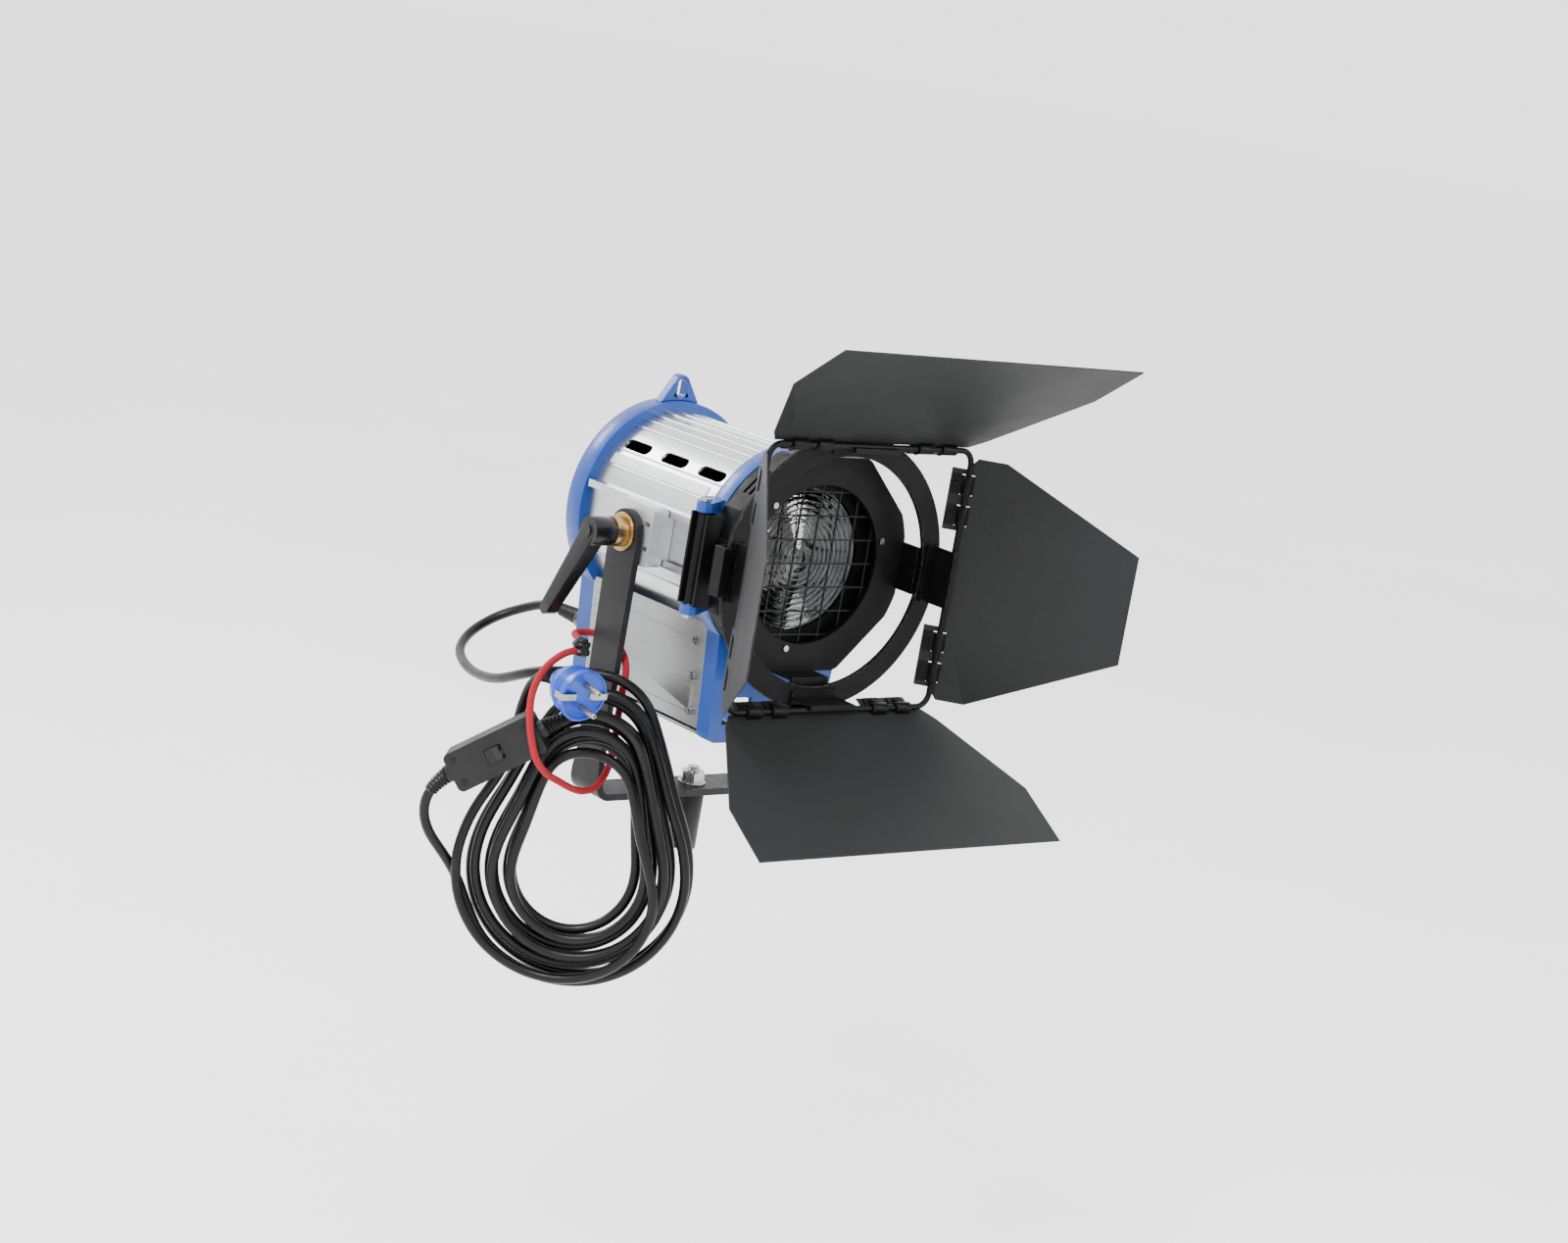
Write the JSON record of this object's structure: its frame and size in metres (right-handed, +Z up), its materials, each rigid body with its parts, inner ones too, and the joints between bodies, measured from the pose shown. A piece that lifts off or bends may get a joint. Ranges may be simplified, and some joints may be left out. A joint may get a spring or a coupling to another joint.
{
  "type": "fresnel spotlight",
  "caption": "Fresnel spotlight: silver tube between blue castings, stepped lens in a hinged door, rotating four-leaf barn doors, tilting yoke, lead coiled and tied to the yoke.",
  "frame": {"origin": "centre of the mouth of the 16 mm spigot socket under the yoke", "axes": "+Z up along the spigot, -Y the way the lens faces, +X the latch side of the lens door; the tilt axis runs along X at a height of 277 mm"},
  "size_m": [0.4652, 0.5045, 0.5834],
  "materials": {
    "black_paint": "fine matte black powder coat, lightly worn at edges",
    "blue_paint": "satin blue enamel on cast aluminium",
    "extrusion": "clear anodised, brushed lengthwise",
    "panel": "satin silver-grey sheet",
    "steel": "zinc plated",
    "brass": "turned, dull",
    "lever_black": "semi-gloss black die-cast lever coating",
    "label": "thin blank plate",
    "rubber": "matte black",
    "fibre": "dull friction disc",
    "reflector": "spun bright reflector",
    "ceramic": "lamp base",
    "bulb_glass": "clear quartz",
    "lens_glass": "moulded borosilicate",
    "plug_blue": "moulded blue",
    "pins": "nickel plated",
    "switch_plastic": "textured",
    "red_cord": "braided elastic"
  },
  "bodies": {
    "yoke": {"yoke_strap": "black_paint", "spigot_socket": "black_paint", "socket_bolt": "steel", "clamp_washers": "brass", "lamp_lead": "rubber", "cable_coil": "rubber", "switch_box": "switch_plastic", "box_screws": "steel", "plug_body": "plug_blue", "plug_pins": "pins", "tie_cord": "red_cord", "tie_toggle": "lever_black"},
    "socket_screw": {"lock_screw": "steel"},
    "lever": {"lever_insert": "brass"},
    "handle": {"lever_handle": "lever_black"},
    "head": {"tube_shell": "extrusion", "side_rails": "extrusion", "label_plate": "label", "front_casting": "blue_paint", "rear_casting": "blue_paint", "safety_eye": "blue_paint", "rear_cover": "black_paint", "side_panels": "panel", "panel_screws": "steel", "base_floor": "panel", "pivot_block_left": "extrusion", "pivot_block_right": "extrusion", "pivot_studs": "steel", "friction_washers": "fibre", "hinge_pin": "steel", "cable_gland": "lever_black", "strain_relief": "rubber", "guide_rods": "steel"},
    "carriage": {"lamp_carriage": "extrusion", "reflector": "reflector", "lamp_holder": "ceramic", "bulb": "bulb_glass"},
    "focus": {"focus_knob": "lever_black", "focus_spindle": "steel"},
    "latch": {"door_latch": "steel"},
    "door": {"door_frame": "black_paint", "hinge_channel": "black_paint", "lens": "lens_glass", "lens_ring": "black_paint", "wire_guard": "steel", "guard_screws": "steel", "claws": "black_paint"},
    "top_clip": {"top_latch": "steel"},
    "barn_frame": {"barn_ring": "black_paint", "ring_brackets": "black_paint", "rod_frame": "black_paint"},
    "top_leaf": {"leaf_top": "black_paint", "straps_top": "black_paint"},
    "right_leaf": {"leaf_right": "black_paint", "straps_right": "black_paint"},
    "bottom_leaf": {"leaf_bottom": "black_paint", "straps_bottom": "black_paint"},
    "left_leaf": {"leaf_left": "black_paint", "straps_left": "black_paint"},
    "rocker": {"switch_rocker": "switch_plastic"}
  },
  "joints": [
    {"name": "head_tilt", "type": "hinge", "parent": "yoke", "child": "head", "pos_m": [0, 0, 0.277], "axis": [-1, 0, 0], "range_deg": [-22, 60], "deforming": ["lamp_lead"]},
    {"name": "lever_turn", "type": "hinge", "parent": "yoke", "child": "lever", "pos_m": [-0.125, 0, 0.277], "axis": [-1, 0, 0], "range_deg": [-100, 60]},
    {"name": "lever_pull", "type": "slide", "parent": "lever", "child": "handle", "axis": [-1, 0, 0], "range_m": [0, 0.004]},
    {"name": "socket_screw_turn", "type": "hinge", "parent": "yoke", "child": "socket_screw", "pos_m": [0, 0.02, 0.022], "axis": [0, 1, 0], "continuous": true},
    {"name": "focus_turn", "type": "hinge", "parent": "head", "child": "focus", "pos_m": [0.022, 0.115, 0.155], "axis": [0, 1, 0], "range_deg": [-540, 540]},
    {"name": "lamp_travel", "type": "slide", "parent": "head", "child": "carriage", "axis": [0, 1, 0], "range_m": [-0.02827, 0.02827]},
    {"name": "door_latch_swing", "type": "hinge", "parent": "head", "child": "latch", "pos_m": [0.099, -0.0705, 0.277], "axis": [0, 0, 1], "range_deg": [0, 60]},
    {"name": "lens_door_swing", "type": "hinge", "parent": "head", "child": "door", "pos_m": [-0.107, -0.087, 0.277], "axis": [0, 0, -1], "range_deg": [0, 60]},
    {"name": "top_clip_swing", "type": "hinge", "parent": "door", "child": "top_clip", "pos_m": [0, -0.1, 0.372], "axis": [-1, 0, 0], "range_deg": [0, 70]},
    {"name": "barn_door_turn", "type": "hinge", "parent": "door", "child": "barn_frame", "pos_m": [0, -0.131, 0.277], "axis": [0, 1, 0], "continuous": true},
    {"name": "top_leaf_swing", "type": "hinge", "parent": "barn_frame", "child": "top_leaf", "pos_m": [0, -0.155, 0.386], "axis": [-1, 0, 0], "range_deg": [-48, 43]},
    {"name": "right_leaf_swing", "type": "hinge", "parent": "barn_frame", "child": "right_leaf", "pos_m": [0.109, -0.155, 0.277], "axis": [0, 0, 1], "range_deg": [-80, 35]},
    {"name": "bottom_leaf_swing", "type": "hinge", "parent": "barn_frame", "child": "bottom_leaf", "pos_m": [0, -0.155, 0.168], "axis": [1, 0, 0], "range_deg": [-41, 51]},
    {"name": "left_leaf_swing", "type": "hinge", "parent": "barn_frame", "child": "left_leaf", "pos_m": [-0.109, -0.155, 0.277], "axis": [0, 0, -1], "range_deg": [-70, 45]},
    {"name": "rocker_tilt", "type": "hinge", "parent": "yoke", "child": "rocker", "pos_m": [-0.2139, -0.00516, 0.093], "axis": [-0.4368, 0.3933, 0.809], "range_deg": [-8, 8]}
  ],
  "couplings": [
    {"joint": "focus_turn", "follows": "lamp_travel", "rad_per_m": 333.33}
  ]
}
